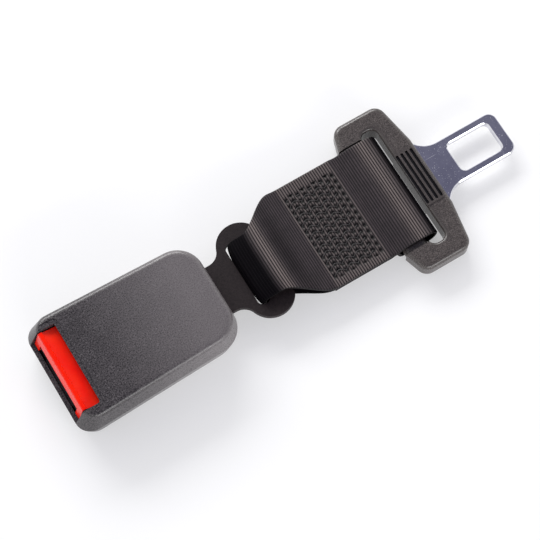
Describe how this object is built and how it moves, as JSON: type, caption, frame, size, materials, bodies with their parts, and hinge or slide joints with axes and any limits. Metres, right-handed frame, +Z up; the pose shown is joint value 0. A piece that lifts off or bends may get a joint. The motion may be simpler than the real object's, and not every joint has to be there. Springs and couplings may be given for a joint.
{
  "type": "seat belt extender",
  "caption": "Push-button buckle on a short folded and stitched webbing strap that ends in a slotted tongue, used to lengthen a car seat belt.",
  "frame": {"origin": "on the ground under the middle of the part's whole length, on its centre line", "axes": "+X from the buckle's mouth to the tip of the tongue, +Z up from the back of the buckle to its button side, +Y across the strap"},
  "size_m": [0.2074, 0.0704, 0.02],
  "materials": {
    "shell_plastic": "fine grained charcoal",
    "button_plastic": "glossy red",
    "guide_plastic": "smooth black",
    "frame_steel": "matte black-brown coating",
    "latch_steel": "plain zinc plated",
    "spring_steel": "bright drawn wire",
    "webbing": "woven polyester with cross ribs",
    "thread": "twisted polyester",
    "tongue_steel": "bright plated",
    "tongue_plastic": "fine grained satin charcoal"
  },
  "bodies": {
    "buckle": {"upper_cover": "shell_plastic", "lower_cover": "shell_plastic", "buckle_frame": "frame_steel", "tongue_guide": "guide_plastic", "latch_pivot_pin": "latch_steel", "latch_spring": "spring_steel", "ejector_spring": "spring_steel", "button_spring_left": "spring_steel", "button_spring_right": "spring_steel"},
    "button": {"press_button": "button_plastic"},
    "latch": {"latch_plate": "latch_steel"},
    "ejector": {"ejector": "guide_plastic"},
    "strap": {"webbing": "webbing", "needle_thread": "thread", "bobbin_thread": "thread"},
    "tongue": {"webbing_tongue_loop": "webbing", "tongue_plate": "tongue_steel", "tongue_overmould": "tongue_plastic"}
  },
  "joints": [
    {"name": "button_press", "type": "slide", "parent": "buckle", "child": "button", "axis": [1, 0, 0], "range_m": [0, 0.0045], "stiffness_N_per_m": 400, "deforming": ["button_spring_left", "button_spring_right"]},
    {"name": "latch_lift", "type": "hinge", "parent": "buckle", "child": "latch", "pos_m": [-0.0517, 0, 0.0146], "axis": [0, 1, 0], "range_deg": [0, 6.8], "deforming": ["latch_spring"]},
    {"name": "ejector_slide", "type": "slide", "parent": "buckle", "child": "ejector", "axis": [1, 0, 0], "range_m": [0, 0.006], "stiffness_N_per_m": 300, "deforming": ["ejector_spring"]},
    {"name": "strap_swing", "type": "hinge", "parent": "buckle", "child": "strap", "pos_m": [-0.00965, 0, 0.00855], "axis": [0, -1, 0], "range_deg": [-28, 28]},
    {"name": "tongue_bend", "type": "hinge", "parent": "strap", "child": "tongue", "pos_m": [0.0376, 0, 0.00715], "axis": [0, -1, 0], "range_deg": [-45, 45]}
  ],
  "couplings": [
    {"joint": "latch_lift", "follows": "button_press", "rad_per_m": 26.3}
  ]
}
